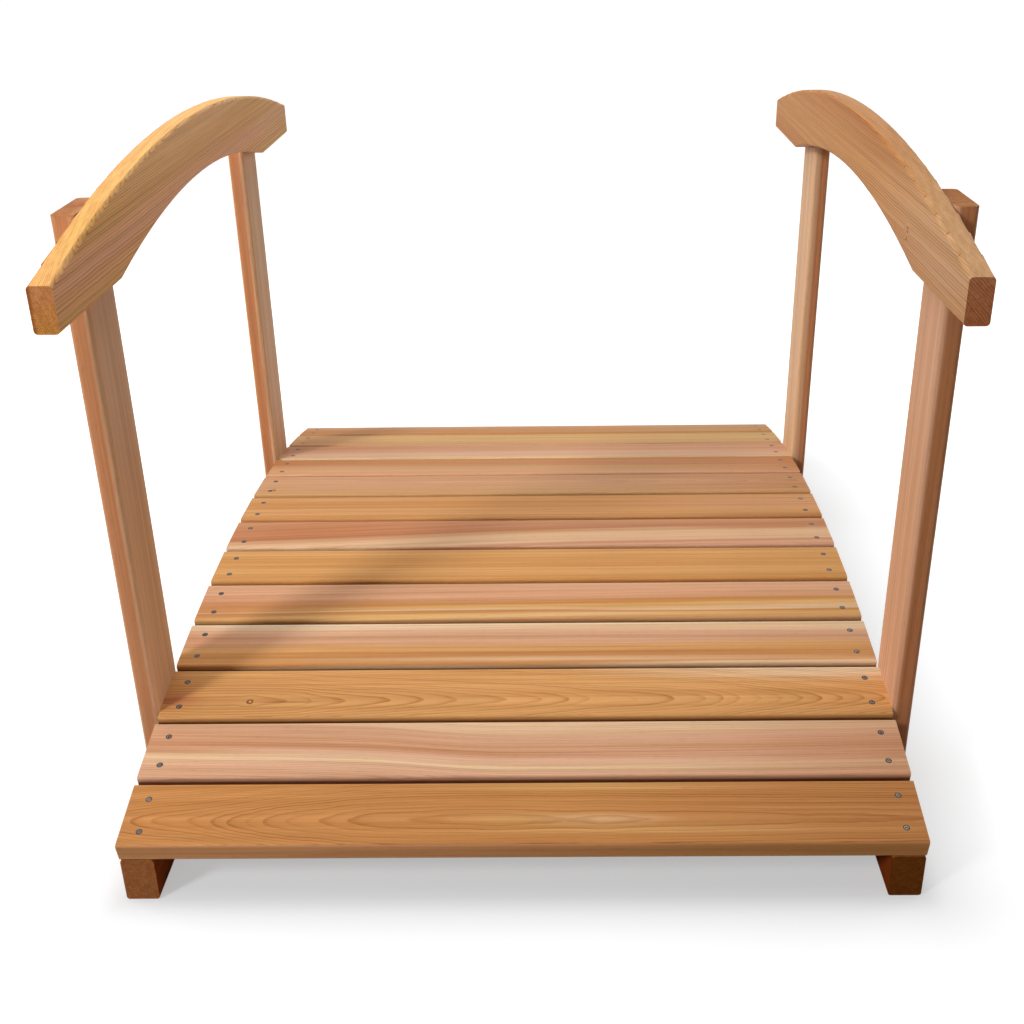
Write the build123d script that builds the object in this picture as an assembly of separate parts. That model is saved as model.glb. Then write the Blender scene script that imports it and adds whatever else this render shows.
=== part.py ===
from build123d import *
import math
import os

# Moon bridge: a small arched footbridge of thirteen deck boards on two arched side beams,
# with four posts and two arched handrails.
# Millimetres. +X to the right across the walkway, +Y along it, +Z up.
# The origin is on the ground, under the middle of the bridge.

# Deck boards
BOARD_COUNT = 13
BOARD_WIDTH = 88.9
BOARD_THICKNESS = 25.4
BOARD_LENGTH = 914.4
BOARD_GAP = 8.1
BOARD_TOP_ROUND = 3.5
BOARD_BOTTOM_ROUND = 3.0

# Side beams
BEAM_THICKNESS = 38.1
BEAM_TOP_RADIUS = 2565.0
BEAM_CREST_HEIGHT = 132.6
BEAM_FOOT_LENGTH = 190.0
BEAM_ARCH_RISE = 59.0
BEAM_EDGE_ROUND = 3.5
BEAM_CORNER_ROUND = 16.0

# Handrails
RAIL_THICKNESS = 25.4
RAIL_LENGTH = 1154.0
RAIL_CREST_HEIGHT = 783.2
RAIL_TOP_RADIUS = 2380.0
RAIL_CREST_DEPTH = 75.4
RAIL_END_DEPTH = 48.0
RAIL_END_FLAT = 197.0
RAIL_OVERHANG = 194.5
RAIL_EDGE_ROUND = 4.0
RAIL_CORNER_ROUND = 15.0

# Posts
POST_THICKNESS = 25.4
POST_WIDTH = 88.9
POST_TOP_BELOW_RAIL = 7.5
POST_GROUND_GAP = 23.0
POST_EDGE_ROUND = 6.0

# Values that follow from the ones above
BOARD_PITCH = BOARD_WIDTH + BOARD_GAP
BOARD_ANGLE = BOARD_PITCH / BEAM_TOP_RADIUS
END_BOARD_ANGLE = BOARD_ANGLE * (BOARD_COUNT - 1) / 2
BEAM_HALF_LENGTH = BEAM_TOP_RADIUS * math.sin(END_BOARD_ANGLE) + BOARD_WIDTH / 2 * math.cos(END_BOARD_ANGLE)
OUTER_FACE = BOARD_LENGTH / 2
POST_OFFSET = RAIL_LENGTH / 2 - RAIL_OVERHANG


def arc_height(crest, radius, distance):
    """Height of an arc with its crest over the origin, at a distance along the walkway."""
    return crest - radius + math.sqrt(radius**2 - distance**2)


def arched_plank(half_length, crest, radius, crest_depth, end_base, end_flat, thickness, corner_round, edge_round):
    """Plank on edge: one arc on top, and flat ends with an arch between them below."""
    end_top = arc_height(crest, radius, half_length)
    flat_inner = half_length - end_flat
    outline = [
        Line((0, -half_length, end_base), (0, -flat_inner, end_base)),
        ThreePointArc((0, -flat_inner, end_base), (0, 0, crest - crest_depth), (0, flat_inner, end_base)),
        Line((0, flat_inner, end_base), (0, half_length, end_base)),
        Line((0, half_length, end_base), (0, half_length, end_top)),
        ThreePointArc((0, half_length, end_top), (0, 0, crest), (0, -half_length, end_top)),
        Line((0, -half_length, end_top), (0, -half_length, end_base)),
    ]
    plank = extrude(make_face(outline), thickness / 2, dir=(1, 0, 0), both=True)
    inner_limit = half_length - end_flat / 2
    corners = plank.edges().filter_by(Axis.X).filter_by_position(Axis.Y, -inner_limit, inner_limit)
    plank = fillet(corners, corner_round)
    side_faces = plank.faces().filter_by(Axis.X)
    long_edges = side_faces.edges().filter_by(Axis.Z, reverse=True)
    return fillet(long_edges, edge_round)


def deck_board(index):
    """One flat board with rounded long edges, resting on the beams' arc at its own middle line."""
    board = Box(BOARD_LENGTH, BOARD_WIDTH, BOARD_THICKNESS, align=(Align.CENTER, Align.CENTER, Align.MIN))
    board = fillet(board.faces().sort_by(Axis.Z)[-1].edges().filter_by(Axis.X), BOARD_TOP_ROUND)
    board = fillet(board.faces().sort_by(Axis.Z)[0].edges().filter_by(Axis.X), BOARD_BOTTOM_ROUND)
    angle = BOARD_ANGLE * (index - (BOARD_COUNT + 1) / 2)
    board = board.moved(Location((0, 0, BEAM_TOP_RADIUS)))
    board = board.moved(Location((0, 0, 0), (-math.degrees(angle), 0, 0)))
    return board.moved(Location((0, 0, BEAM_CREST_HEIGHT - BEAM_TOP_RADIUS)))


def side_beam(side):
    """Beam on flat feet, arched on top under the boards and arched between its feet."""
    beam = arched_plank(
        BEAM_HALF_LENGTH,
        BEAM_CREST_HEIGHT,
        BEAM_TOP_RADIUS,
        BEAM_CREST_HEIGHT - BEAM_ARCH_RISE,
        0,
        BEAM_FOOT_LENGTH,
        BEAM_THICKNESS,
        BEAM_CORNER_ROUND,
        BEAM_EDGE_ROUND,
    )
    return beam.moved(Location((side * (OUTER_FACE - BEAM_THICKNESS / 2), 0, 0)))


def handrail(side):
    """Rail on the inner faces of two posts, its outer face in line with the board ends."""
    end_top = arc_height(RAIL_CREST_HEIGHT, RAIL_TOP_RADIUS, RAIL_LENGTH / 2)
    rail = arched_plank(
        RAIL_LENGTH / 2,
        RAIL_CREST_HEIGHT,
        RAIL_TOP_RADIUS,
        RAIL_CREST_DEPTH,
        end_top - RAIL_END_DEPTH,
        RAIL_END_FLAT,
        RAIL_THICKNESS,
        RAIL_CORNER_ROUND,
        RAIL_EDGE_ROUND,
    )
    return rail.moved(Location((side * (OUTER_FACE - RAIL_THICKNESS / 2), 0, 0)))


def post(side, end):
    """Upright post on the outer face of a beam, its sawn top just under the handrail's top."""
    top = arc_height(RAIL_CREST_HEIGHT, RAIL_TOP_RADIUS, POST_OFFSET) - POST_TOP_BELOW_RAIL
    height = top - POST_GROUND_GAP
    body = Box(POST_THICKNESS, POST_WIDTH, height, align=(Align.CENTER, Align.CENTER, Align.MIN))
    body = fillet(body.edges().filter_by(Axis.Z), POST_EDGE_ROUND)
    centre_x = side * (OUTER_FACE + POST_THICKNESS / 2)
    return body.moved(Location((centre_x, end * POST_OFFSET, POST_GROUND_GAP)))


os.makedirs("parts", exist_ok=True)

for number in range(1, BOARD_COUNT + 1):
    export_step(deck_board(number), f"parts/deck_board_{number:02d}.step")

for side_name, side in (("left", -1), ("right", 1)):
    export_step(side_beam(side), f"parts/side_beam_{side_name}.step")
    export_step(handrail(side), f"parts/handrail_{side_name}.step")
    for end_name, end in (("front", -1), ("back", 1)):
        export_step(post(side, end), f"parts/post_{end_name}_{side_name}.step")
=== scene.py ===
import bpy
import math
from mathutils import Euler, Matrix, Vector


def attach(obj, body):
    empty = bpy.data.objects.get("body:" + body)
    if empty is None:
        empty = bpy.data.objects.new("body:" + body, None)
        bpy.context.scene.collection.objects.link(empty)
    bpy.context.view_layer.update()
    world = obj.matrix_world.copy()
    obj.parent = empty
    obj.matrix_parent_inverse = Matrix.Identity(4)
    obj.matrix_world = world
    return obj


# Moon bridge in western red cedar: thirteen deck boards, two side beams, four posts and two handrails.
# Metres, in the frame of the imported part: +X across the walkway, +Y along it, +Z up.

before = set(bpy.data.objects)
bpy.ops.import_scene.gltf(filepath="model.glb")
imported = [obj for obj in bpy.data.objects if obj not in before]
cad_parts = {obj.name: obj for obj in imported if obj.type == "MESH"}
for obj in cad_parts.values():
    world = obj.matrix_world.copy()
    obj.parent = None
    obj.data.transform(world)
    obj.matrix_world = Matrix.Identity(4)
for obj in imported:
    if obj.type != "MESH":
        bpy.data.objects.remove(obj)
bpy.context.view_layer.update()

scene = bpy.context.scene
scene.view_settings.view_transform = "Standard"

# Sizes of the timber

BOARD_COUNT = 13
BOARD_WIDTH = 0.0889
BOARD_THICKNESS = 0.0254
BOARD_PITCH = 0.0970
DECK_WIDTH = 0.9144
BEAM_TOP_RADIUS = 2.565
BEAM_CREST_HEIGHT = 0.1326
BEAM_THICKNESS = 0.0381
BEAM_LENGTH = 1.2407
RAIL_THICKNESS = 0.0254
RAIL_LENGTH = 1.154
RAIL_BOARD_WIDTH = 0.119
RAIL_BOARD_MIDDLE = 0.7237
POST_THICKNESS = 0.0254
POST_WIDTH = 0.0889
POST_LENGTH = 0.7218
POST_MIDDLE = 0.3839
POST_OFFSET = 0.3825

# Camera, at the photograph's viewing angle

IMAGE_SIDE = 1024
SENSOR = 36.0
FOCAL_PIXELS = 1279.8
CENTRE_PIXEL_X = 547.38
CENTRE_PIXEL_Y = 512.71
CAMERA_PLACE = Vector((0.04617, -1.75431, 1.04044))
CAMERA_PITCH = 25.8276
CAMERA_YAW = -0.6266
CAMERA_ROLL = -0.7166


def make_camera():
    data = bpy.data.cameras.new("camera")
    data.sensor_width = SENSOR
    data.lens = FOCAL_PIXELS / IMAGE_SIDE * SENSOR
    data.shift_x = (IMAGE_SIDE / 2 - CENTRE_PIXEL_X) / IMAGE_SIDE
    data.shift_y = (CENTRE_PIXEL_Y - IMAGE_SIDE / 2) / IMAGE_SIDE
    camera = bpy.data.objects.new("camera", data)
    scene.collection.objects.link(camera)
    pitch, yaw, roll = (math.radians(a) for a in (CAMERA_PITCH, CAMERA_YAW, CAMERA_ROLL))
    forward = Vector((math.sin(yaw) * math.cos(pitch), math.cos(yaw) * math.cos(pitch), -math.sin(pitch)))
    level_right = Vector((math.cos(yaw), -math.sin(yaw), 0.0))
    level_up = level_right.cross(forward)
    right = level_right * math.cos(roll) + level_up * math.sin(roll)
    up = level_up * math.cos(roll) - level_right * math.sin(roll)
    turn = Matrix((right, up, -forward)).transposed().to_4x4()
    camera.matrix_world = Matrix.Translation(CAMERA_PLACE) @ turn
    scene.camera = camera


# Colours, as they look in plain daylight

def paint(red, green, blue):
    """Linear colour from the three display values, 0 to 255."""
    levels = []
    for value in (red, green, blue):
        v = value / 255
        levels.append(v / 12.92 if v <= 0.04045 else ((v + 0.055) / 1.055) ** 2.4)
    return (*levels, 1.0)


PALETTE = {
    "honey": paint(206, 144, 84),
    "amber": paint(217, 161, 101),
    "ochre": paint(207, 148, 86),
    "straw": paint(224, 178, 114),
    "tan": paint(212, 162, 114),
    "cream": paint(235, 198, 160),
    "sapwood": paint(242, 218, 186),
    "rose": paint(216, 163, 126),
    "blush": paint(227, 178, 146),
    "apricot": paint(222, 160, 114),
    "russet": paint(200, 140, 100),
    "copper": paint(196, 130, 88),
    "brown": paint(172, 112, 66),
    "umber": paint(136, 82, 44),
    # The next two tones are painted shade for the beams' inner faces, in the shade under the deck
    "painted_shade_chestnut": paint(158, 73, 26),
    "painted_shade_rust": paint(214, 110, 56),
}


# Small helpers for node trees

def add_node(tree, kind, inputs=(), **settings):
    """Node with its settings, and its inputs joined to sockets or set to values."""
    node = tree.nodes.new(kind)
    for key, value in settings.items():
        setattr(node, key, value)
    for key, value in dict(inputs).items():
        if isinstance(value, bpy.types.NodeSocket):
            tree.links.new(value, node.inputs[key])
        else:
            node.inputs[key].default_value = value
    return node


def maths(tree, operation, *values):
    """Result of a maths node on sockets and plain values."""
    node = add_node(tree, "ShaderNodeMath", operation=operation)
    for socket, value in zip(node.inputs, values):
        if isinstance(value, bpy.types.NodeSocket):
            tree.links.new(value, socket)
        else:
            socket.default_value = value
    return node.outputs[0]


def ease(tree, value, low, high, start=0.0, end=1.0):
    """Smooth step of a value from low to high."""
    inputs = {"Value": value, "From Min": low, "From Max": high, "To Min": start, "To Max": end}
    return add_node(tree, "ShaderNodeMapRange", inputs, interpolation_type="SMOOTHSTEP").outputs["Result"]


def stretched_noise(tree, vector, scale, detail=2.0, roughness=0.5):
    """Noise with its own scale on each of the three axes, from 0 to 1."""
    node = add_node(tree, "ShaderNodeVectorMath", {0: vector, 1: scale}, operation="MULTIPLY")
    inputs = {"Vector": node.outputs["Vector"], "Scale": 1.0, "Detail": detail, "Roughness": roughness}
    return add_node(tree, "ShaderNodeTexNoise", inputs).outputs["Fac"]


def blend(tree, kind, factor, first, second):
    """Colour that a blend of two colours gives."""
    node = add_node(tree, "ShaderNodeMix", data_type="RGBA", blend_type=kind)
    for name, value in (("Factor_Float", factor), ("A_Color", first), ("B_Color", second)):
        socket = next(s for s in node.inputs if s.identifier == name)
        if isinstance(value, bpy.types.NodeSocket):
            tree.links.new(value, socket)
        else:
            socket.default_value = value
    return next(s for s in node.outputs if s.identifier == "Result_Color")


def new_group(name, inputs, outputs):
    """Empty shader group with its sockets; gives the tree, its input node and its output node."""
    tree = bpy.data.node_groups.new(name, "ShaderNodeTree")
    for socket_name, kind in inputs:
        tree.interface.new_socket(socket_name, in_out="INPUT", socket_type=kind)
    for socket_name, kind in outputs:
        tree.interface.new_socket(socket_name, in_out="OUTPUT", socket_type=kind)
    return tree, tree.nodes.new("NodeGroupInput"), tree.nodes.new("NodeGroupOutput")


NUMBER = "NodeSocketFloat"
VECTOR = "NodeSocketVector"


def hypotenuse(tree, first, second):
    """Distance that two offsets at right angles make."""
    first_square = maths(tree, "MULTIPLY", first, first)
    second_square = maths(tree, "MULTIPLY", second, second)
    return maths(tree, "SQRT", maths(tree, "ADD", first_square, second_square))


def random_value(tree, key):
    """Value from 0 to 1 that always belongs to the same key."""
    return add_node(tree, "ShaderNodeTexWhiteNoise", {"W": key}, noise_dimensions="1D").outputs["Value"]


def colour_ramp(tree, position, stops, interpolation):
    """Colours along a value, from stops of a place and a colour."""
    ramp = add_node(tree, "ShaderNodeValToRGB", {"Fac": position})
    ramp.color_ramp.interpolation = interpolation
    elements = ramp.color_ramp.elements
    while len(elements) < len(stops):
        elements.new(0.5)
    for element, (place, _) in zip(elements, stops):
        element.position = place
    for element, (_, colour) in zip(elements, stops):
        element.color = colour
    return ramp.outputs["Color"]


def seen_rays(tree):
    """1 for what the camera sees, also in a reflection or through glass, and 0 for light that bounces."""
    rays = add_node(tree, "ShaderNodeLightPath").outputs
    seen = maths(tree, "MAXIMUM", rays["Is Camera Ray"], rays["Is Glossy Ray"])
    return maths(tree, "MAXIMUM", seen, rays["Is Transmission Ray"])


# Wood: shared shader groups. All read coordinates in metres, with the grain along X.
# Noise scales are in waves to the metre, along the grain and both ways across it.

SLOW_WAVE = (7.0, 26.0, 26.0)
QUICK_WAVE = (34.0, 70.0, 70.0)
QUICK_WAVE_SHARE = 0.35
LINE_BREAKS = (9.0, 240.0, 240.0)
STREAKS = (8.0, 620.0, 620.0)
VEINS = (1.4, 190.0, 190.0)
BANDS = (2.2, 60.0, 60.0)
PORES = (60.0, 1500.0, 1500.0)
SAW_SPECKLE = (40.0, 800.0, 800.0)
KNOT_OUTLINE = (300.0, 300.0, 300.0)
KNOT_UNEVENNESS = 0.5
LATE_WOOD_SHARE = 0.65
EARLY_WOOD_SHARE = 0.35
LINE_STRENGTHS = (0.70, 0.30)
SHADE_KEY = 31.7


def make_growth_rings():
    """Dark late wood lines where a board cuts the tree's rings, round a heart that may lie outside it."""
    inputs = (("Vector", VECTOR), ("Heart Across", NUMBER), ("Heart Height", NUMBER),
              ("Ring Width", NUMBER), ("Rise", NUMBER), ("Waviness", NUMBER), ("Seed", NUMBER))
    outputs = (("Late Wood", NUMBER), ("Ring Shade", NUMBER))
    tree, given, result = new_group("growth rings", inputs, outputs)
    parts = add_node(tree, "ShaderNodeSeparateXYZ", {0: given.outputs["Vector"]})
    across = maths(tree, "SUBTRACT", parts.outputs["Y"], given.outputs["Heart Across"])
    height = maths(tree, "SUBTRACT", parts.outputs["Z"], given.outputs["Heart Height"])
    radius = hypotenuse(tree, across, height)
    offset = add_node(tree, "ShaderNodeCombineXYZ", {"X": given.outputs["Seed"], "Y": given.outputs["Seed"]})
    moved = add_node(tree, "ShaderNodeVectorMath", {0: given.outputs["Vector"], 1: offset.outputs[0]})
    place = moved.outputs["Vector"]
    slow = maths(tree, "SUBTRACT", stretched_noise(tree, place, SLOW_WAVE, 1.0), 0.5)
    quick = maths(tree, "SUBTRACT", stretched_noise(tree, place, QUICK_WAVE, 2.0), 0.5)
    wave = maths(tree, "ADD", slow, maths(tree, "MULTIPLY", quick, QUICK_WAVE_SHARE))
    waved = maths(tree, "MULTIPLY_ADD", wave, given.outputs["Waviness"], radius)
    widths = maths(tree, "DIVIDE", waved, given.outputs["Ring Width"])
    count = maths(tree, "ADD", widths, given.outputs["Rise"])
    number = maths(tree, "FLOOR", count)
    part = maths(tree, "SUBTRACT", count, number)
    early = maths(tree, "MULTIPLY", ease(tree, part, 0.15, 0.95), EARLY_WOOD_SHARE)
    slope = maths(tree, "MULTIPLY_ADD", ease(tree, part, 0.62, 0.90), LATE_WOOD_SHARE, early)
    growth = maths(tree, "MULTIPLY", slope, ease(tree, part, 0.94, 1.0, 1.0, 0.0))
    broken = stretched_noise(tree, place, LINE_BREAKS, 2.0)
    growth = maths(tree, "MULTIPLY", growth, ease(tree, broken, 0.25, 0.65, 0.55, 1.15))
    key = maths(tree, "ADD", number, given.outputs["Seed"])
    strength = maths(tree, "MULTIPLY_ADD", random_value(tree, key), *LINE_STRENGTHS)
    shade = random_value(tree, maths(tree, "ADD", key, SHADE_KEY))
    tree.links.new(maths(tree, "MULTIPLY", growth, strength), result.inputs["Late Wood"])
    tree.links.new(shade, result.inputs["Ring Shade"])
    return tree


def make_wood_fibres():
    """Fine streaks along the grain, veins, broad soft bands, and short dark pores."""
    outputs = (("Streak", NUMBER), ("Vein", NUMBER), ("Band", NUMBER), ("Pores", NUMBER))
    tree, given, result = new_group("wood fibres", (("Vector", VECTOR), ("Seed", NUMBER)), outputs)
    offset = add_node(tree, "ShaderNodeCombineXYZ", {"X": given.outputs["Seed"], "Z": given.outputs["Seed"]})
    moved = add_node(tree, "ShaderNodeVectorMath", {0: given.outputs["Vector"], 1: offset.outputs[0]})
    place = moved.outputs["Vector"]
    tree.links.new(stretched_noise(tree, place, STREAKS, 3.0, 0.6), result.inputs["Streak"])
    tree.links.new(stretched_noise(tree, place, VEINS, 3.0, 0.6), result.inputs["Vein"])
    tree.links.new(stretched_noise(tree, place, BANDS, 1.0), result.inputs["Band"])
    fine = stretched_noise(tree, place, PORES, 1.0)
    tree.links.new(ease(tree, fine, 0.62, 0.75), result.inputs["Pores"])
    return tree


def make_facing():
    """Mask of the faces that look along an axis, either way."""
    tree, given, result = new_group("facing", (("Axis", VECTOR),), (("Mask", NUMBER),))
    normal = add_node(tree, "ShaderNodeNewGeometry").outputs["True Normal"]
    inputs = {0: normal, 1: given.outputs["Axis"]}
    along = add_node(tree, "ShaderNodeVectorMath", inputs, operation="DOT_PRODUCT")
    mask = ease(tree, maths(tree, "ABSOLUTE", along.outputs["Value"]), 0.55, 0.9)
    tree.links.new(mask, result.inputs["Mask"])
    return tree


def make_sawn_end():
    """Open speckle of a face that the saw cut across the grain."""
    tree, given, result = new_group("sawn end", (("Vector", VECTOR),), (("Speckle", NUMBER),))
    speckle = stretched_noise(tree, given.outputs["Vector"], SAW_SPECKLE, 3.0, 0.7)
    tree.links.new(ease(tree, speckle, 0.3, 0.7), result.inputs["Speckle"])
    return tree


def offsets(tree, given):
    """Offsets of a place from a group's Along and Across inputs."""
    parts = add_node(tree, "ShaderNodeSeparateXYZ", {0: given.outputs["Vector"]})
    along = maths(tree, "SUBTRACT", parts.outputs["X"], given.outputs["Along"])
    across = maths(tree, "SUBTRACT", parts.outputs["Y"], given.outputs["Across"])
    return along, across


def make_soft_patch():
    """Soft oval mask on a board's face, one in its middle and nothing at its rim."""
    inputs = (("Vector", VECTOR), ("Along", NUMBER), ("Across", NUMBER),
              ("Length", NUMBER), ("Width", NUMBER))
    tree, given, result = new_group("soft patch", inputs, (("Mask", NUMBER),))
    along, across = offsets(tree, given)
    along = maths(tree, "DIVIDE", along, given.outputs["Length"])
    across = maths(tree, "DIVIDE", across, given.outputs["Width"])
    mask = ease(tree, hypotenuse(tree, along, across), 0.0, 1.0, 1.0, 0.0)
    tree.links.new(mask, result.inputs["Mask"])
    return tree


def make_knot():
    """Knot in a board: its core, the dark ring round it, and the swirl that it gives the rings."""
    inputs = (("Vector", VECTOR), ("Along", NUMBER), ("Across", NUMBER), ("Size", NUMBER))
    outputs = (("Core", NUMBER), ("Rim", NUMBER), ("Swirl", NUMBER))
    tree, given, result = new_group("knot", inputs, outputs)
    distance = maths(tree, "DIVIDE", hypotenuse(tree, *offsets(tree, given)), given.outputs["Size"])
    uneven = maths(tree, "SUBTRACT", stretched_noise(tree, given.outputs["Vector"], KNOT_OUTLINE, 1.0), 0.5)
    distance = maths(tree, "MULTIPLY_ADD", uneven, KNOT_UNEVENNESS, distance)
    tree.links.new(ease(tree, distance, 0.25, 0.55, 1.0, 0.0), result.inputs["Core"])
    outer = ease(tree, distance, 0.9, 1.2, 1.0, 0.0)
    rim = maths(tree, "MULTIPLY", ease(tree, distance, 0.35, 0.6), outer)
    tree.links.new(rim, result.inputs["Rim"])
    tree.links.new(ease(tree, distance, 0.5, 5.0, 1.0, 0.0), result.inputs["Swirl"])
    return tree


GROWTH_RINGS = make_growth_rings()
WOOD_FIBRES = make_wood_fibres()
FACING = make_facing()
SAWN_END = make_sawn_end()
SOFT_PATCH = make_soft_patch()
KNOT = make_knot()


# Wood: one material for each piece, from the figure of its own board

RISE_SPAN = 30.0
SWAY_SPAN = 120.0
LINE_TINT = (0.66, 0.50, 0.36, 1.0)
VEIN_TINT = (1.0, 0.93, 0.82, 1.0)
PORE_TINT = (0.62, 0.44, 0.30, 1.0)
KNOT_TINT = (0.36, 0.20, 0.11, 1.0)
# Colour of the painted shade in the gaps between boards
PAINTED_GAP_SHADE_TINT = (0.20, 0.10, 0.05, 1.0)

# How far the soft bands drift the tones, and the shades that the fine figure gives, as a spread and a base
BAND_DRIFT = (0.22, 0.5)
RING_SHADE = (0.10, 0.95)
STREAK_SHADE = (0.34, 0.83)
SPECKLE_SHADE = (0.5, 0.75)
VEIN_SHADES = (1.12, 0.88)

PORE_STRENGTH = 0.4
KNOT_RIM_STRENGTH = 0.95
KNOT_CORE_STRENGTH = 0.5
EDGE_RISE_LOSS = 0.9

# Painted shade in the gaps between boards, in millimetres over a board's middle: where it starts and is full
GAP_SHADE_START = 8.5
GAP_SHADE_FULL = 3.0
GAP_SHADE_STRENGTH = 0.95

ROUGHNESS = (0.18, 0.46)
END_ROUGHNESS = 0.25
LINE_RELIEF = -0.3
PORE_RELIEF = -0.6
RELIEF_STRENGTH = 0.35
RELIEF_DEPTH = 0.0003

# What a figure has where it says nothing else
PLAIN_FIGURE = {
    "waviness": 3.0, "contrast": 0.7, "edge_lines": 0.3, "swirl": 2.0, "gloss": 0.14,
    "end_tint": (0.62, 0.50, 0.38), "tint": (1.0, 1.0, 1.0), "knots": (), "patches": (), "layers": (),
}


def profile(tree, along, length, points, middle, span):
    """Curve along a piece, from given points of millimetres along and a value; gives the value."""
    part = maths(tree, "MULTIPLY_ADD", along, 1 / length, 0.5)
    node = add_node(tree, "ShaderNodeFloatCurve", {"Value": part})
    curve = node.mapping.curves[0]
    places = [(0.5 + x / 1000 / length, middle + value / span) for x, value in points]
    curve.points[0].location = places[0]
    curve.points[1].location = places[-1]
    for place in places[1:-1]:
        curve.points.new(*place)
    for point in curve.points:
        point.handle_type = "AUTO_CLAMPED"
    node.mapping.update()
    return maths(tree, "MULTIPLY", maths(tree, "SUBTRACT", node.outputs["Value"], middle), span)


def use_group(tree, group, vector=None, **values):
    """Node of a shared group, fed with a place and with plain values for its other sockets."""
    node = add_node(tree, "ShaderNodeGroup", node_tree=group)
    if vector is not None:
        tree.links.new(vector, node.inputs["Vector"])
    for key, value in values.items():
        node.inputs[key.replace("_", " ")].default_value = value
    return node


def grain_flow(tree, local, along, length, figure):
    """Place that the figure is read at, shifted across the board where its grain sways."""
    if "sway" not in figure:
        return local
    shift = profile(tree, along, length, figure["sway"], 0.5, SWAY_SPAN)
    bend = add_node(tree, "ShaderNodeCombineXYZ", {"Y": maths(tree, "MULTIPLY", shift, 0.001)})
    inputs = {0: local, 1: bend.outputs[0]}
    return add_node(tree, "ShaderNodeVectorMath", inputs, operation="SUBTRACT").outputs["Vector"]


def ring_lines(tree, flow, along, edge, length, knots, figure):
    """The board's growth rings, with the tips along it and the swirl round its knots."""
    heart_across, heart_height = figure["heart"]
    rings = use_group(
        tree, GROWTH_RINGS, flow, Heart_Across=heart_across / 1000, Heart_Height=heart_height / 1000,
        Ring_Width=figure["ring"] / 1000, Waviness=figure["waviness"] / 1000, Seed=figure["seed"])
    rise = 0.0
    if "rise" in figure:
        rise = profile(tree, along, length, figure["rise"], 0.0, RISE_SPAN)
        rise = maths(tree, "MULTIPLY", rise, maths(tree, "MULTIPLY_ADD", edge, -EDGE_RISE_LOSS, 1.0))
    for knot in knots:
        rise = maths(tree, "MULTIPLY_ADD", knot.outputs["Swirl"], -figure["swirl"], rise)
    if isinstance(rise, bpy.types.NodeSocket):
        tree.links.new(rise, rings.inputs["Rise"])
    return rings


def broad_tones(tree, flow, height, edge, band, width, figure):
    """Tones across the board, its soft patches, the tone of its long edges and the layers in its depth."""
    across = add_node(tree, "ShaderNodeSeparateXYZ", {0: flow}).outputs["Y"]
    drift = maths(tree, "MULTIPLY_ADD", maths(tree, "SUBTRACT", band, 0.5), *BAND_DRIFT)
    stops = [(place, PALETTE[tone]) for place, tone in figure["tones"]]
    colour = colour_ramp(tree, maths(tree, "MULTIPLY_ADD", across, 1 / width, drift), stops, "EASE")
    # Some patches and layers are painted light or shade; their figures say which.
    for x, y, patch_length, patch_width, tone, strength in figure["patches"]:
        patch = use_group(tree, SOFT_PATCH, flow, Along=x / 1000, Across=y / 1000,
                          Length=patch_length / 1000, Width=patch_width / 1000)
        factor = maths(tree, "MULTIPLY", patch.outputs["Mask"], strength)
        colour = blend(tree, "MIX", factor, colour, PALETTE[tone])
    if "edge" in figure:
        tone, strength = figure["edge"]
        colour = blend(tree, "MIX", maths(tree, "MULTIPLY", edge, strength), colour, PALETTE[tone])
    for low, high, tone, strength in figure["layers"]:
        layer = ease(tree, height, low / 1000, high / 1000, 0.0, strength)
        colour = blend(tree, "MIX", layer, colour, PALETTE[tone])
    return colour


def fine_figure(tree, colour, edge, rings, fibres, knots, figure):
    """Ring lines, streaks, veins, pores and knots, laid over the broad tones."""
    contrast = maths(tree, "MULTIPLY_ADD", edge, figure["edge_lines"] - 1.0, 1.0)
    contrast = maths(tree, "MULTIPLY", contrast, figure["contrast"])
    lines = maths(tree, "MULTIPLY", rings.outputs["Late Wood"], contrast)
    colour = blend(tree, "MULTIPLY", lines, colour, LINE_TINT)
    shade = maths(tree, "MULTIPLY_ADD", rings.outputs["Ring Shade"], *RING_SHADE)
    streak = maths(tree, "MULTIPLY_ADD", fibres.outputs["Streak"], *STREAK_SHADE)
    vein = fibres.outputs["Vein"]
    veined = ease(tree, vein, 0.2, 0.8, *VEIN_SHADES)
    value = maths(tree, "MULTIPLY", maths(tree, "MULTIPLY", shade, streak), veined)
    colour = blend(tree, "MULTIPLY", 1.0, colour, value)
    colour = blend(tree, "MULTIPLY", ease(tree, vein, 0.35, 0.7), colour, VEIN_TINT)
    pores = maths(tree, "MULTIPLY", fibres.outputs["Pores"], PORE_STRENGTH)
    colour = blend(tree, "MULTIPLY", pores, colour, PORE_TINT)
    for knot in knots:
        rim = maths(tree, "MULTIPLY", knot.outputs["Rim"], KNOT_RIM_STRENGTH)
        colour = blend(tree, "MULTIPLY", rim, colour, KNOT_TINT)
        core = maths(tree, "MULTIPLY", knot.outputs["Core"], KNOT_CORE_STRENGTH)
        colour = blend(tree, "MIX", core, colour, PALETTE["straw"])
    return colour


def painted_gap_shade(tree, colour, across, height, edge, side):
    """Painted shade on the long edges in the gaps between boards: on both, or one side of an end board."""
    depth = ease(tree, height, GAP_SHADE_START / 1000, GAP_SHADE_FULL / 1000, 0.0, GAP_SHADE_STRENGTH)
    inside = maths(tree, "MULTIPLY", depth, edge)
    if side:
        beside = maths(tree, "GREATER_THAN", maths(tree, "MULTIPLY", across, side), 0.0)
        inside = maths(tree, "MULTIPLY", inside, beside)
    return blend(tree, "MULTIPLY", inside, colour, PAINTED_GAP_SHADE_TINT)


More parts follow.
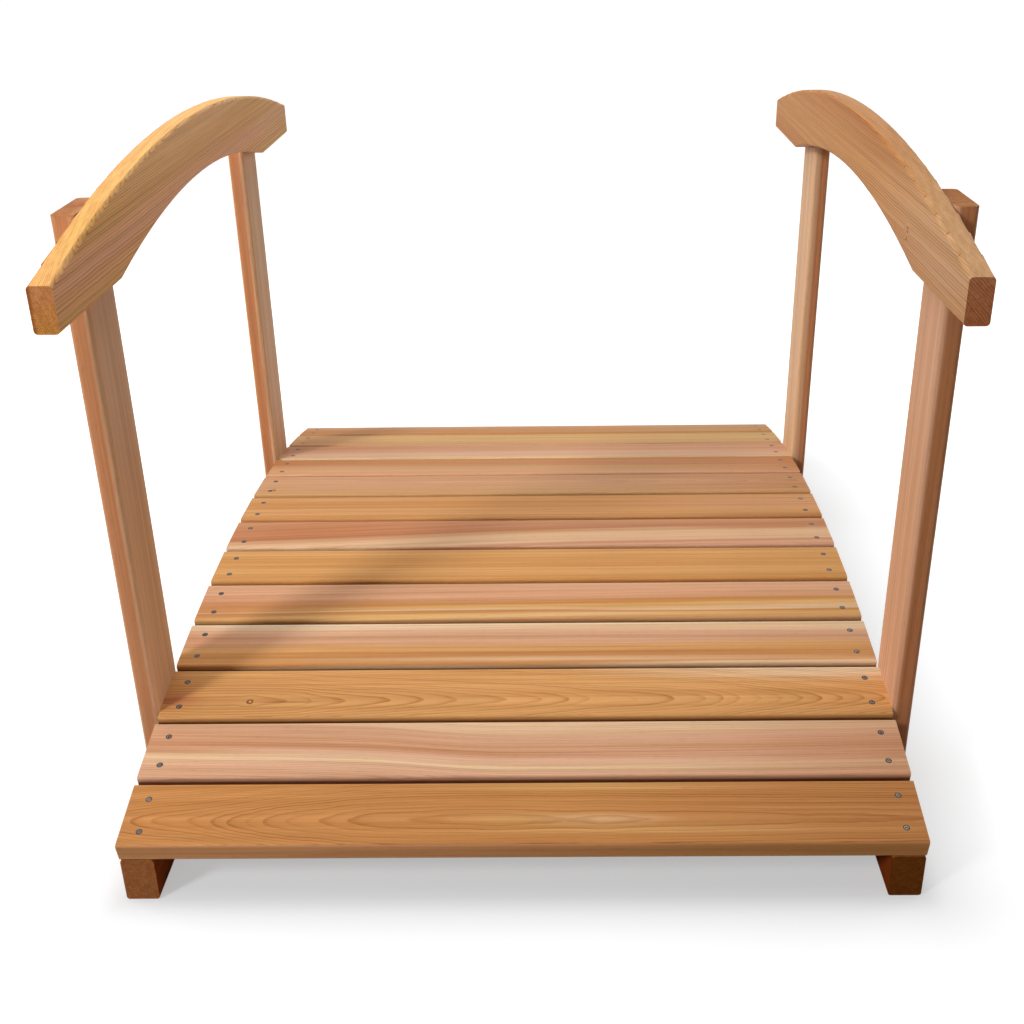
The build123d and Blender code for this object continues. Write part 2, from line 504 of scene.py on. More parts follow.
def sawn_ends(tree, colour, end, speckle, tint):
    """Darker, speckled wood on the faces that the saw cut."""
    grit = maths(tree, "MULTIPLY_ADD", speckle, *SPECKLE_SHADE)
    cut = blend(tree, "MULTIPLY", 1.0, colour, (*tint, 1.0))
    cut = blend(tree, "MULTIPLY", 1.0, cut, grit)
    return blend(tree, "MIX", end, colour, cut)


def wood_surface(tree, shader, end, speckle, rings, fibres):
    """Roughness, and the shallow relief of lines, fibres, pores and saw marks."""
    rough = maths(tree, "MULTIPLY_ADD", fibres.outputs["Streak"], *ROUGHNESS)
    rough = maths(tree, "MULTIPLY_ADD", end, END_ROUGHNESS, rough)
    tree.links.new(rough, shader.inputs["Roughness"])
    relief = maths(tree, "MULTIPLY_ADD", rings.outputs["Late Wood"], LINE_RELIEF, fibres.outputs["Streak"])
    relief = maths(tree, "MULTIPLY_ADD", fibres.outputs["Pores"], PORE_RELIEF, relief)
    relief = maths(tree, "MULTIPLY_ADD", end, speckle, relief)
    inputs = {"Height": relief, "Strength": RELIEF_STRENGTH, "Distance": RELIEF_DEPTH}
    bump = add_node(tree, "ShaderNodeBump", inputs)
    tree.links.new(bump.outputs["Normal"], shader.inputs["Normal"])


def cedar(name, middle, turn, length, width, figure, gap_side=None):
    """Cedar material for one piece. The figure says where its lines run and which tones it has."""
    figure = {**PLAIN_FIGURE, **figure}
    material = bpy.data.materials.new(name)
    material.use_nodes = True
    tree = material.node_tree
    shader = tree.nodes["Principled BSDF"]
    objects = add_node(tree, "ShaderNodeTexCoord").outputs["Object"]
    inputs = {"Vector": objects, "Location": middle, "Rotation": turn}
    local = add_node(tree, "ShaderNodeMapping", inputs, vector_type="TEXTURE").outputs["Vector"]
    parts = add_node(tree, "ShaderNodeSeparateXYZ", {0: local})
    along, across, height = (parts.outputs[axis] for axis in "XYZ")
    axes = Euler(turn).to_matrix().transposed()
    end = use_group(tree, FACING, Axis=axes[0]).outputs["Mask"]
    edge = use_group(tree, FACING, Axis=axes[1]).outputs["Mask"]
    speckle = use_group(tree, SAWN_END, local).outputs["Speckle"]
    knots = [use_group(tree, KNOT, local, Along=x / 1000, Across=y / 1000, Size=size / 1000)
             for x, y, size in figure["knots"]]

    flow = grain_flow(tree, local, along, length, figure)
    rings = ring_lines(tree, flow, along, edge, length, knots, figure)
    fibres = use_group(tree, WOOD_FIBRES, flow, Seed=figure["seed"])
    colour = broad_tones(tree, flow, height, edge, fibres.outputs["Band"], width, figure)
    colour = fine_figure(tree, colour, edge, rings, fibres, knots, figure)
    # Painted shade in the gaps between the boards
    if gap_side is not None:
        colour = painted_gap_shade(tree, colour, across, height, edge, gap_side)
    colour = sawn_ends(tree, colour, end, speckle, figure["end_tint"])
    colour = blend(tree, "MULTIPLY", 1.0, colour, (*figure["tint"], 1.0))
    tree.links.new(colour, shader.inputs["Base Color"])
    shader.inputs["Specular IOR Level"].default_value = figure["gloss"]
    wood_surface(tree, shader, end, speckle, rings, fibres)
    return material


# Figures of the thirteen deck boards, front to back. Millimetres from the board's middle: along to the
# right, across to the back. The heart is given across and up, and rise counts the tips of the rings.

BOARD_FIGURES = {
    1: {
        "seed": 1.3, "heart": (-10, -7.3), "ring": 3.0, "waviness": 3.4, "contrast": 0.85,
        "rise": [(-457, 11.6), (-422, 10.3), (-377, 9.2), (-353, 8.2), (-333, 7.2), (-312, 6.2), (-291, 5.2),
                 (-265, 4.2), (-224, 3.2), (-198, 2.2), (-147, 1.2), (-45, 0.7), (56, 1.2), (95, 0.9),
                 (140, 1.2), (300, 1.7), (457, 2.4)],
        "tones": [(0.0, "honey"), (0.35, "honey"), (0.6, "honey"), (1.0, "honey")],
        "patches": [(40, -10, 190, 14, "straw", 0.45), (95, -10, 100, 12, "cream", 0.4),
                    (80, 38, 300, 14, "straw", 0.6), (160, -24, 320, 12, "straw", 0.5),
                    (480, 0, 480, 120, "brown", 0.42), (-250, -46, 700, 6, "apricot", 0.8)],
        "edge_lines": 0.15,
    },
    2: {
        "seed": 7.9, "heart": (190, -60), "ring": 2.6, "waviness": 3.0, "contrast": 0.62,
        "sway": [(-457, 9), (-200, 2), (0, -11.6), (250, -9.8), (457, -7)],
        "tones": [(0.0, "blush"), (0.12, "blush"), (0.28, "cream"), (0.42, "blush"), (0.50, "russet"),
                  (0.58, "rose"), (0.80, "blush"), (1.0, "cream")],
        "patches": [(300, 3, 460, 16, "blush", 0.75), (-457, -9, 220, 10, "russet", 0.7),
                    (500, 0, 360, 120, "russet", 0.6), (0, -46, 900, 7, "blush", 0.6)],
    },
    3: {
        "seed": 4.1, "heart": (-15, -10.5), "ring": 3.0, "waviness": 2.4, "contrast": 0.8, "swirl": 0.5,
        "rise": [(-457, 1.0), (-400, 0.6), (-292, 1.2), (-265, 2.2), (-227, 3.2), (-171, 4.2), (-127, 5.2),
                 (-82, 6.2), (-31, 7.2), (16, 8.2), (52, 9.2), (79, 10.2), (147, 11.2), (194, 12.2),
                 (232, 13.2), (252, 14.2), (272, 15.2), (296, 16.2), (324, 17.2), (348, 18.2), (372, 19.2),
                 (397, 20.2), (424, 21.2), (457, 22.4)],
        "tones": [(0.0, "amber"), (0.5, "amber"), (1.0, "amber")],
        "knots": [(-347, -16, 4.2)],
        "patches": [(480, 47, 540, 38, "sapwood", 1.0), (-450, -12, 60, 26, "copper", 1.0),
                    (-300, -17, 60, 2.5, "umber", 0.6)],
        "edge_lines": 0.15,
    },
    4: {
        "seed": 12.6, "heart": (-210, -40), "ring": 3.1, "contrast": 0.4,
        "tones": [(0.0, "cream"), (0.05, "honey"), (0.2, "honey"), (0.36, "amber"), (0.52, "rose"),
                  (0.76, "blush"), (0.86, "cream"), (1.0, "sapwood")],
        "patches": [(-457, 16, 160, 44, "copper", 0.5), (80, -22, 640, 5, "copper", 0.8),
                    (80, -34, 700, 8, "cream", 0.6)],
        "tint": (0.96, 0.98, 1.0),
    },
    5: {
        "seed": 18.2, "heart": (230, -50), "ring": 3.2, "contrast": 0.42,
        "sway": [(-457, -8), (0, -1), (457, 4)],
        "tones": [(0.0, "tan"), (0.10, "straw"), (0.18, "honey"), (0.26, "cream"), (0.33, "straw"),
                  (0.43, "ochre"), (0.56, "rose"), (1.0, "blush")],
        "patches": [(400, -18, 300, 9, "cream", 0.8), (-457, -10, 300, 50, "copper", 0.6),
                    (40, -36, 300, 8, "cream", 0.5), (230, -24, 240, 7, "cream", 0.5)],
        "tint": (0.95, 0.93, 0.90),
    },
    6: {
        "seed": 23.4, "heart": (-250, -60), "ring": 2.9, "contrast": 0.5,
        "tones": [(0.0, "ochre"), (0.3, "amber"), (0.6, "ochre"), (0.8, "amber"), (1.0, "amber")],
        "tint": (1.0, 1.02, 1.05),
    },
    7: {
        "seed": 29.7, "heart": (240, -70), "ring": 3.2, "contrast": 0.4,
        "sway": [(-457, -26), (-200, -8), (0, 6), (200, 12), (457, 16)],
        "tones": [(0.0, "blush"), (0.15, "cream"), (0.40, "cream"), (0.54, "russet"), (0.8, "rose"),
                  (1.0, "rose")],
        "patches": [(0, -46, 900, 9, "rose", 0.8), (-330, 24, 520, 56, "copper", 0.9)],
        "tint": (0.92, 0.88, 0.86),
    },
    8: {
        "seed": 35.1, "heart": (-220, -50), "ring": 3.0, "contrast": 0.45,
        "tones": [(0.0, "ochre"), (0.3, "amber"), (0.6, "ochre"), (1.0, "amber")],
        "patches": [(420, 10, 420, 40, "rose", 0.5), (457, -42, 330, 12, "brown", 0.6)],
        "tint": (0.97, 0.97, 1.08),
    },
    9: {
        "seed": 41.8, "heart": (8, -4), "ring": 3.2, "contrast": 0.4, "waviness": 5.0,
        "rise": [(-457, 0), (60, 0), (200, 1.5), (330, 4), (457, 7)],
        "tones": [(0.0, "tan"), (0.5, "rose"), (1.0, "rose")],
        "knots": [(-430, -22, 4.0)],
        "patches": [(480, 0, 420, 90, "russet", 0.8)],
        "tint": (0.93, 0.95, 0.90),
    },
    10: {
        "seed": 47.2, "heart": (-230, -60), "ring": 3.2, "contrast": 0.38,
        "tones": [(0.0, "rose"), (0.4, "tan"), (0.62, "russet"), (0.85, "honey"), (1.0, "honey")],
        # The second patch is painted shade: it deepens the handrail's shadow at the left end
        "patches": [(480, 0, 320, 90, "copper", 0.6), (-480, 32, 380, 40, "brown", 0.6)],
    },
    11: {
        "seed": 53.9, "heart": (260, -50), "ring": 3.4, "contrast": 0.32,
        "tones": [(0.0, "cream"), (0.35, "blush"), (0.55, "rose"), (0.75, "rose"), (1.0, "rose")],
        # Painted shade: the patch deepens the handrail's shadow at the left end
        "patches": [(-480, 30, 440, 50, "copper", 0.7)],
    },
    12: {
        "seed": 59.3, "heart": (-260, -60), "ring": 3.2, "contrast": 0.32,
        "tones": [(0.0, "tan"), (0.5, "straw"), (0.8, "straw"), (1.0, "tan")],
        # Painted shade: the patch deepens the handrail's shadow at the left end
        "patches": [(-480, 0, 260, 90, "brown", 0.7)],
        "tint": (0.97, 0.98, 1.0),
    },
    13: {
        "seed": 66.6, "heart": (200, -60), "ring": 3.2, "contrast": 0.32,
        "tones": [(0.0, "honey"), (0.5, "honey"), (0.8, "tan"), (1.0, "rose")],
        # The first patch is painted shade: it deepens the handrail's shadow at the left end
        "patches": [(-480, -20, 320, 60, "brown", 0.5), (330, -20, 240, 60, "straw", 0.5)],
        "tint": (0.93, 0.92, 0.92),
    },
}

# Figures of the handrails, posts and beams. Along to the back or up, across upward or to the back.

OTHER_FIGURES = {
    "handrail_left": {
        "seed": 71.2, "heart": (-120, -220), "ring": 1.5, "contrast": 1.5, "waviness": 2.0,
        "tones": [(0.0, "straw"), (0.35, "blush"), (0.65, "straw"), (1.0, "cream")],
        "patches": [(-60, 24, 520, 40, "cream", 0.5), (480, 0, 260, 110, "cream", 0.4)],
        # Painted shade: brown on the rounded outer edges, which face the lamps on the left
        "layers": [(-7.5, -11, "brown", 0.75), (-12.3, -12.6, "straw", 0.85)],
        "edge": ("straw", 0.8), "edge_lines": 0.8,
        "end_tint": (0.78, 0.61, 0.44), "tint": (1.16, 1.09, 0.88),
    },
    "handrail_right": {
        "seed": 77.5, "heart": (-180, -150), "ring": 2.6, "contrast": 1.3, "waviness": 5.0, "swirl": 2.5,
        "knots": [(-346, -22, 3.2)],
        "tones": [(0.0, "honey"), (0.5, "amber"), (1.0, "honey")],
        "patches": [(-470, -30, 170, 22, "rose", 0.6), (-520, -10, 430, 110, "cream", 0.6)],
        "edge": ("tan", 0.4), "edge_lines": 0.3,
        "end_tint": (0.89, 0.59, 0.53), "tint": (0.86, 0.83, 0.78),
    },
    "post_front_left": {
        "seed": 83.6, "heart": (-160, -60), "ring": 3.0, "contrast": 0.45,
        "tones": [(0.0, "apricot"), (0.4, "rose"), (0.55, "russet"), (0.7, "rose"), (0.9, "blush"),
                  (1.0, "cream")],
        "patches": [(-400, 0, 520, 150, "cream", 0.7)],
        "layers": [(-4, -10, "cream", 0.6), (7, 11, "rose", 0.6)],
        "edge": ("copper", 0.75), "edge_lines": 0.7,
    },
    "post_back_left": {
        "seed": 89.4, "heart": (190, -40), "ring": 3.2, "contrast": 0.45,
        "tones": [(0.0, "tan"), (0.5, "rose"), (1.0, "blush")],
        # The first patch is painted light: it lightens the upper part, just under the handrail
        "patches": [(420, 0, 560, 150, "cream", 0.8), (-400, 0, 420, 150, "cream", 0.6)],
        "layers": [(-3, -9, "cream", 0.8)],
        "edge": ("copper", 0.95), "edge_lines": 0.7,
    },
    "post_front_right": {
        "seed": 95.1, "heart": (170, 50), "ring": 3.2, "contrast": 0.45,
        "tones": [(0.0, "tan"), (0.14, "cream"), (0.26, "tan"), (1.0, "tan")],
        "patches": [(380, 0, 240, 150, "blush", 0.5), (-400, 0, 460, 150, "blush", 0.8)],
        "layers": [(5, 10, "blush", 0.8)],
        "edge": ("copper", 0.95), "edge_lines": 0.7, "end_tint": (0.58, 0.43, 0.29),
    },
    "post_back_right": {
        "seed": 101.7, "heart": (-150, 50), "ring": 3.2, "contrast": 0.45,
        "tones": [(0.0, "rose"), (0.5, "rose"), (1.0, "tan")],
        "patches": [(-400, 0, 440, 150, "blush", 0.6)],
        "layers": [(-3, 6, "cream", 0.8)],
        "edge": ("copper", 0.95), "edge_lines": 0.7,
    },
    "side_beam_left": {
        "seed": 107.3, "heart": (-140, -60), "ring": 3.6, "contrast": 0.4,
        "tones": [(0.0, "brown"), (0.5, "brown"), (1.0, "umber")],
        # Painted shade: the inner face, in the shade under the deck, gets a deep red-orange tone
        "layers": [(18.2, 19.0, "painted_shade_rust", 0.9)], "end_tint": (0.98, 0.94, 1.0), "gloss": 0.0,
    },
    "side_beam_right": {
        "seed": 113.8, "heart": (-150, 60), "ring": 3.6, "contrast": 0.4,
        "tones": [(0.0, "brown"), (0.5, "brown"), (1.0, "umber")],
        # Painted shade: the inner face, in the shade under the deck, gets a deep red-brown tone
        "layers": [(-18.2, -19.0, "painted_shade_chestnut", 0.9)], "end_tint": (0.47, 0.37, 0.19), "gloss": 0.0,
    },
}

ALONG_WALKWAY = Matrix(((0, 0, 1), (1, 0, 0), (0, 1, 0))).to_euler()
UPRIGHT = Matrix(((0, 0, -1), (0, 1, 0), (1, 0, 0))).to_euler()


def board_angle(number):
    """Angle of a deck board's middle round the beams' arc, from the crest."""
    return BOARD_PITCH / BEAM_TOP_RADIUS * (number - (BOARD_COUNT + 1) / 2)


def board_point(number, along, across, height):
    """Point on a deck board: along to the right, across to the back, height over its underside."""
    angle = board_angle(number)
    radius = BEAM_TOP_RADIUS + height
    y = radius * math.sin(angle) + across * math.cos(angle)
    z = BEAM_CREST_HEIGHT - BEAM_TOP_RADIUS + radius * math.cos(angle) - across * math.sin(angle)
    return Vector((along, y, z))


def dress(name, material):
    """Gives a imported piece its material."""
    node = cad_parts[name]
    node.data.materials.clear()
    node.data.materials.append(material)


def dress_deck():
    """Cedar for the boards, with painted shade in the gaps. The end boards have a gap on one side only."""
    for number, figure in BOARD_FIGURES.items():
        name = f"deck_board_{number:02d}"
        gap_side = {1: 1, BOARD_COUNT: -1}.get(number, 0)
        middle = board_point(number, 0, 0, BOARD_THICKNESS / 2)
        turn = (-board_angle(number), 0, 0)
        dress(name, cedar(name, middle, turn, DECK_WIDTH, BOARD_WIDTH, figure, gap_side))


def dress_sides():
    """Cedar for the handrails, beams and posts."""
    for side_name, side in (("left", -1), ("right", 1)):
        name = f"handrail_{side_name}"
        middle = Vector((side * (DECK_WIDTH - RAIL_THICKNESS) / 2, 0, RAIL_BOARD_MIDDLE))
        figure = OTHER_FIGURES[name]
        dress(name, cedar(name, middle, ALONG_WALKWAY, RAIL_LENGTH, RAIL_BOARD_WIDTH, figure))
        name = f"side_beam_{side_name}"
        middle = Vector((side * (DECK_WIDTH - BEAM_THICKNESS) / 2, 0, BEAM_CREST_HEIGHT / 2))
        figure = OTHER_FIGURES[name]
        dress(name, cedar(name, middle, ALONG_WALKWAY, BEAM_LENGTH, BEAM_CREST_HEIGHT, figure))
        for end_name, end in (("front", -1), ("back", 1)):
            name = f"post_{end_name}_{side_name}"
            middle = Vector((side * (DECK_WIDTH + POST_THICKNESS) / 2, end * POST_OFFSET, POST_MIDDLE))
            figure = OTHER_FIGURES[name]
            dress(name, cedar(name, middle, UPRIGHT, POST_LENGTH, POST_WIDTH, figure))


# Screws

SCREW_FROM_END = 0.02242
SCREW_SPREAD = 0.0229
SCREW_PAIR_SHIFT = -0.0012
SCREW_HEAD_RADIUS = 0.0037
DECK_SCREW_PROUD = 0.0003
DECK_SCREW_SEED = 5
POST_SCREW_HEIGHTS = (0.062, 0.098, 0.690, 0.722)
POST_SCREW_SPREAD = 0.020
POST_SCREW_PROUD = 0.00004
POST_SCREW_SEED = 8

# Discs that make a head: corners, lower and upper radius and height as shares of the head's, and shade
SCREW_RIM = (20, 1.06, 1.00, 0.3, 0.0)
SCREW_HEAD = (20, 0.78, 0.66, 0.9, 1.0)
SCREW_RECESS = (4, 0.28, 0.28, 1.0, 0.0)

# Wear of the coating: the most that chance gives a head, and what the right side has on top of it
CHANCE_WEAR = 0.6
RIGHT_SIDE_WEAR = 0.4

# Colour of the painted shade in the drive recess and on the dark rim round each head
PAINTED_RECESS_AND_RIM_SHADE = paint(34, 25, 20)
COATING_DARK = paint(30, 28, 30)
COATING_FRESH = paint(72, 86, 100)
COATING_WORN = paint(200, 184, 172)
COATING_SCRATCHES = (1100.0, 1100.0, 1100.0)


def make_screw_steel():
    """Dull coated steel. The shade attribute is 0 for painted shade, in the drive recess and on the dark rim
    round the head, and 1 on the head; the wear attribute says how far the coating has gone."""
    material = bpy.data.materials.new("screw steel")
    material.use_nodes = True
    tree = material.node_tree
    shader = tree.nodes["Principled BSDF"]
    objects = add_node(tree, "ShaderNodeTexCoord").outputs["Object"]
    shade = add_node(tree, "ShaderNodeAttribute", attribute_name="shade").outputs["Fac"]
    wear = add_node(tree, "ShaderNodeAttribute", attribute_name="wear").outputs["Fac"]
    scratches = ease(tree, stretched_noise(tree, objects, COATING_SCRATCHES, 2.0, 0.6), 0.40, 0.62)
    worn = blend(tree, "MIX", wear, COATING_FRESH, COATING_WORN)
    bright = blend(tree, "MIX", scratches, COATING_DARK, worn)
    # Painted shade where the shade attribute is 0: the drive recess and the rim round the head
    colour = blend(tree, "MIX", shade, PAINTED_RECESS_AND_RIM_SHADE, bright)
    tree.links.new(colour, shader.inputs["Base Color"])
    tree.links.new(maths(tree, "MULTIPLY", shade, 0.5), shader.inputs["Metallic"])
    tree.links.new(maths(tree, "MULTIPLY_ADD", scratches, 0.3, 0.4), shader.inputs["Roughness"])
    bump = add_node(tree, "ShaderNodeBump", {"Height": scratches, "Strength": 0.3, "Distance": 0.0001})
    tree.links.new(bump.outputs["Normal"], shader.inputs["Normal"])
    return material


def make_screw_tree(material):
    """Puts a screw head on each point, facing the way of the point's facing attribute."""
    tree = bpy.data.node_groups.new("screw heads", "GeometryNodeTree")
    tree.interface.new_socket("Geometry", in_out="INPUT", socket_type="NodeSocketGeometry")
    radius = tree.interface.new_socket("Head Radius", in_out="INPUT", socket_type=NUMBER)
    proud = tree.interface.new_socket("Head Proud", in_out="INPUT", socket_type=NUMBER)
    seed = tree.interface.new_socket("Seed", in_out="INPUT", socket_type="NodeSocketInt")
    tree.interface.new_socket("Geometry", in_out="OUTPUT", socket_type="NodeSocketGeometry")
    given = tree.nodes.new("NodeGroupInput")
    result = tree.nodes.new("NodeGroupOutput")
    head_radius = given.outputs["Head Radius"]
    head_proud = given.outputs["Head Proud"]

    def disc(vertices, lower, upper, top, tone):
        inputs = {
            "Vertices": vertices,
            "Radius Bottom": maths(tree, "MULTIPLY", head_radius, lower),
            "Radius Top": maths(tree, "MULTIPLY", head_radius, upper),
            "Depth": maths(tree, "MULTIPLY", head_proud, top),
        }
        cone = add_node(tree, "GeometryNodeMeshCone", inputs)
        inputs = {"Geometry": cone.outputs["Mesh"], "Name": "shade", "Value": tone}
        marked = add_node(tree, "GeometryNodeStoreNamedAttribute", inputs, data_type="FLOAT")
        return marked.outputs["Geometry"]

    # The rim and the recess are flat discs; their dark colour is painted shade round the head and in the
    # drive
    rim = disc(*SCREW_RIM)
    head = disc(*SCREW_HEAD)
    recess = disc(*SCREW_RECESS)
    joined = add_node(tree, "GeometryNodeJoinGeometry")
    for piece in (recess, head, rim):
        tree.links.new(piece, joined.inputs["Geometry"])

    inputs = {"Name": "facing"}
    facing = add_node(tree, "GeometryNodeInputNamedAttribute", inputs, data_type="FLOAT_VECTOR")
    inputs = {"Vector": facing.outputs["Attribute"]}
    aligned = add_node(tree, "FunctionNodeAlignRotationToVector", inputs, axis="Z")
    inputs = {"Seed": given.outputs["Seed"]}
    spin = add_node(tree, "FunctionNodeRandomValue", inputs, data_type="FLOAT_VECTOR")
    spin.inputs["Min"].default_value = (0, 0, 0)
    spin.inputs["Max"].default_value = (0, 0, math.tau)
    inputs = {"Rotation": aligned.outputs["Rotation"], "Rotate By": spin.outputs["Value"]}
    turned = add_node(tree, "FunctionNodeRotateRotation", inputs, rotation_space="LOCAL")
    inputs = {
        "Points": given.outputs["Geometry"],
        "Instance": joined.outputs["Geometry"],
        "Rotation": turned.outputs["Rotation"],
    }
    placed = add_node(tree, "GeometryNodeInstanceOnPoints", inputs)

    inputs = {"Seed": given.outputs["Seed"]}
    chance = add_node(tree, "FunctionNodeRandomValue", inputs, data_type="FLOAT")
    amount = next(s for s in chance.outputs if s.identifier == "Value_001")
    place = add_node(tree, "GeometryNodeInputPosition").outputs["Position"]
    across = add_node(tree, "ShaderNodeSeparateXYZ", {0: place}).outputs["X"]
    right_side = maths(tree, "MULTIPLY", maths(tree, "GREATER_THAN", across, 0.0), RIGHT_SIDE_WEAR)
    inputs = {"Geometry": placed.outputs["Instances"], "Name": "wear"}
    worn = add_node(tree, "GeometryNodeStoreNamedAttribute", inputs, data_type="FLOAT", domain="INSTANCE")
    tree.links.new(maths(tree, "MULTIPLY_ADD", amount, CHANCE_WEAR, right_side), worn.inputs["Value"])

    real = add_node(tree, "GeometryNodeRealizeInstances", {"Geometry": worn.outputs["Geometry"]})
    inputs = {"Geometry": real.outputs["Geometry"], "Material": material}
    coated = add_node(tree, "GeometryNodeSetMaterial", inputs)
    tree.links.new(coated.outputs["Geometry"], result.inputs["Geometry"])
    return tree, {"radius": radius.identifier, "proud": proud.identifier, "seed": seed.identifier}


def make_screws(name, places, proud, seed, tree, sockets):
    """One plain mesh with a screw head at each place, a point and the way it faces."""
    mesh = bpy.data.meshes.new(name)
    mesh.from_pydata([point for point, _ in places], [], [])
    facing = mesh.attributes.new("facing", "FLOAT_VECTOR", "POINT")
    for item, (_, way) in zip(facing.data, places):
        item.vector = way
    piece = bpy.data.objects.new(name, mesh)
    scene.collection.objects.link(piece)
    modifier = piece.modifiers.new("screw heads", "NODES")
    modifier.node_group = tree
    modifier[sockets["radius"]] = SCREW_HEAD_RADIUS
    modifier[sockets["proud"]] = proud
    modifier[sockets["seed"]] = seed
    bpy.context.view_layer.update()
    evaluated = piece.evaluated_get(bpy.context.evaluated_depsgraph_get())
    finished = bpy.data.meshes.new_from_object(evaluated)
    piece.modifiers.remove(modifier)
    piece.data = finished
    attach(piece, "root")


def deck_screw_places():
    """Four screws through each board, into the beams."""
    places = []
    for number in BOARD_FIGURES:
        angle = board_angle(number)
        up = Vector((0, math.sin(angle), math.cos(angle)))
        for side in (-1, 1):
            for step in (-1, 1):
                along = side * (DECK_WIDTH / 2 - SCREW_FROM_END)
                across = SCREW_PAIR_SHIFT + step * SCREW_SPREAD
                places.append((board_point(number, along, across, BOARD_THICKNESS), up))
    return places


def post_screw_places():
    """Screws through the posts' outer faces into the beams and the handrails."""
    places = []
    for side in (-1, 1):
        outer = side * (DECK_WIDTH / 2 + POST_THICKNESS)
        for end in (-1, 1):
            for row, height in enumerate(POST_SCREW_HEIGHTS):
                across = POST_SCREW_SPREAD if row % 2 else -POST_SCREW_SPREAD
                place = Vector((outer, end * POST_OFFSET + across, height))
                places.append((place, Vector((side, 0, 0))))
    return places


def add_screws():
    tree, sockets = make_screw_tree(make_screw_steel())
    make_screws("deck_screws", deck_screw_places(), DECK_SCREW_PROUD, DECK_SCREW_SEED, tree, sockets)
    make_screws("post_screws", post_screw_places(), POST_SCREW_PROUD, POST_SCREW_SEED, tree, sockets)


# Floor, world and lamps

FLOOR_REACH = 25.0
FLOOR_MOTTLE = (3.0, 3.0, 3.0)
FLOOR_TONES = ((0.47, 0.48, 0.49, 1.0), (0.50, 0.51, 0.52, 1.0))
FLOOR_BOUNCE = (0.26, 0.25, 0.24, 1.0)

# Whiteness of the floor, from metres beyond the bridge. It is lower close to the bridge, so that part of
# the grey there is painted shade, on top of the lamps' shadow
FLOOR_GLOW = [(0.0, 0.43), (0.03, 0.57), (0.07, 0.63), (0.15, 0.76), (0.30, 0.94), (0.5, 1.0)]

WORLD_STRENGTH = 0.06
WORLD_TINT = (1.0, 0.95, 0.88, 1.0)
WHITE = (1.0, 1.0, 1.0, 1.0)

# Square lamps: name, place, what they point at, side, power, and spread in degrees
LAMPS = (
    ("key lamp", (-3.3, -3.2, 3.1), (-0.25, 0.55, 0.3), 0.9, 10.7, 44.0),
    ("overhead softbox", (-0.4, 0.0, 3.0), (0, 0, 0.2), 3.0, 49, 180.0),
    ("front softbox", (-0.6, -3.5, 1.2), (0, 0, 0.3), 2.0, 15, 180.0),
    ("left softbox", (-3.0, 0.4, 1.5), (0, 0, 0.4), 1.6, 28, 180.0),
    ("right softbox", (3.0, 1.0, 1.6), (0, 0, 0.4), 1.6, 20, 180.0),
)


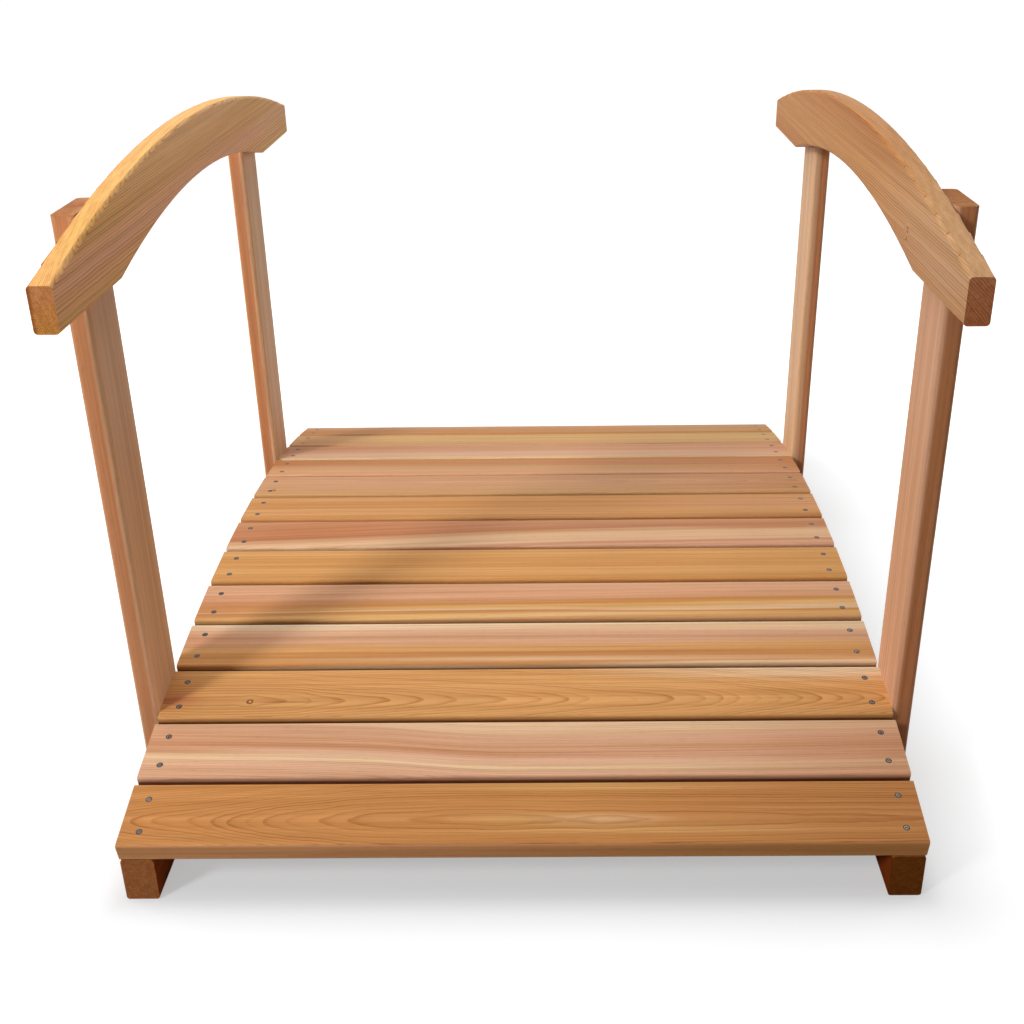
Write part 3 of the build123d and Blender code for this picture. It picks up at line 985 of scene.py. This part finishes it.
def make_floor():
    """Pale studio floor, white further out and grey close round the bridge: lamp shadow and painted shade.
    """
    mesh = bpy.data.meshes.new("floor")
    reach = FLOOR_REACH
    corners = [(-reach, -reach, 0), (reach, -reach, 0), (reach, reach, 0), (-reach, reach, 0)]
    mesh.from_pydata(corners, [], [(0, 1, 2, 3)])
    floor = bpy.data.objects.new("floor", mesh)
    scene.collection.objects.link(floor)
    material = bpy.data.materials.new("studio floor")
    material.use_nodes = True
    tree = material.node_tree
    shader = tree.nodes["Principled BSDF"]
    shader.inputs["Roughness"].default_value = 0.9
    shader.inputs["Specular IOR Level"].default_value = 0.0
    objects = add_node(tree, "ShaderNodeTexCoord").outputs["Object"]
    parts = add_node(tree, "ShaderNodeSeparateXYZ", {0: objects})
    beyond_side = maths(tree, "SUBTRACT", maths(tree, "ABSOLUTE", parts.outputs["X"]), DECK_WIDTH / 2)
    beyond_end = maths(tree, "SUBTRACT", maths(tree, "ABSOLUTE", parts.outputs["Y"]), BEAM_LENGTH / 2)
    beyond_side = maths(tree, "MAXIMUM", beyond_side, 0.0)
    beyond_end = maths(tree, "MAXIMUM", beyond_end, 0.0)
    glow_reach = FLOOR_GLOW[-1][0]
    distance = maths(tree, "DIVIDE", hypotenuse(tree, beyond_side, beyond_end), glow_reach)
    stops = [(place / glow_reach, (level, level, level, 1.0)) for place, level in FLOOR_GLOW]
    # Less white close to the bridge, which paints part of the shade there
    glow = colour_ramp(tree, distance, stops, "LINEAR")
    mottle = stretched_noise(tree, objects, FLOOR_MOTTLE, 2.0)
    seen = seen_rays(tree)
    tone = blend(tree, "MIX", mottle, *FLOOR_TONES)
    tone = blend(tree, "MIX", seen, FLOOR_BOUNCE, tone)
    tree.links.new(tone, shader.inputs["Base Color"])
    white = add_node(tree, "ShaderNodeEmission", {"Color": glow, "Strength": seen})
    both = add_node(tree, "ShaderNodeAddShader")
    tree.links.new(shader.outputs["BSDF"], both.inputs[0])
    tree.links.new(white.outputs["Emission"], both.inputs[1])
    tree.links.new(both.outputs["Shader"], tree.nodes["Material Output"].inputs["Surface"])
    mesh.materials.append(material)


def make_world():
    """Soft light from all round, with a white background."""
    world = bpy.data.worlds.new("studio")
    scene.world = world
    world.use_nodes = True
    tree = world.node_tree
    background = tree.nodes["Background"]
    seen = seen_rays(tree)
    level = maths(tree, "MULTIPLY_ADD", seen, 1.0 - WORLD_STRENGTH, WORLD_STRENGTH)
    tree.links.new(level, background.inputs["Strength"])
    colour = blend(tree, "MIX", seen, WORLD_TINT, WHITE)
    tree.links.new(colour, background.inputs["Color"])


def make_lamp(name, place, target, side, power, spread):
    data = bpy.data.lights.new(name, "AREA")
    data.shape = "RECTANGLE"
    data.size = side
    data.size_y = side
    data.energy = power
    data.spread = math.radians(spread)
    lamp = bpy.data.objects.new(name, data)
    scene.collection.objects.link(lamp)
    lamp.location = place
    lamp.rotation_euler = (Vector(target) - Vector(place)).to_track_quat("-Z", "Y").to_euler()


def make_studio():
    make_floor()
    make_world()
    for lamp in LAMPS:
        make_lamp(*lamp)


make_camera()
make_studio()
dress_deck()
dress_sides()
add_screws()
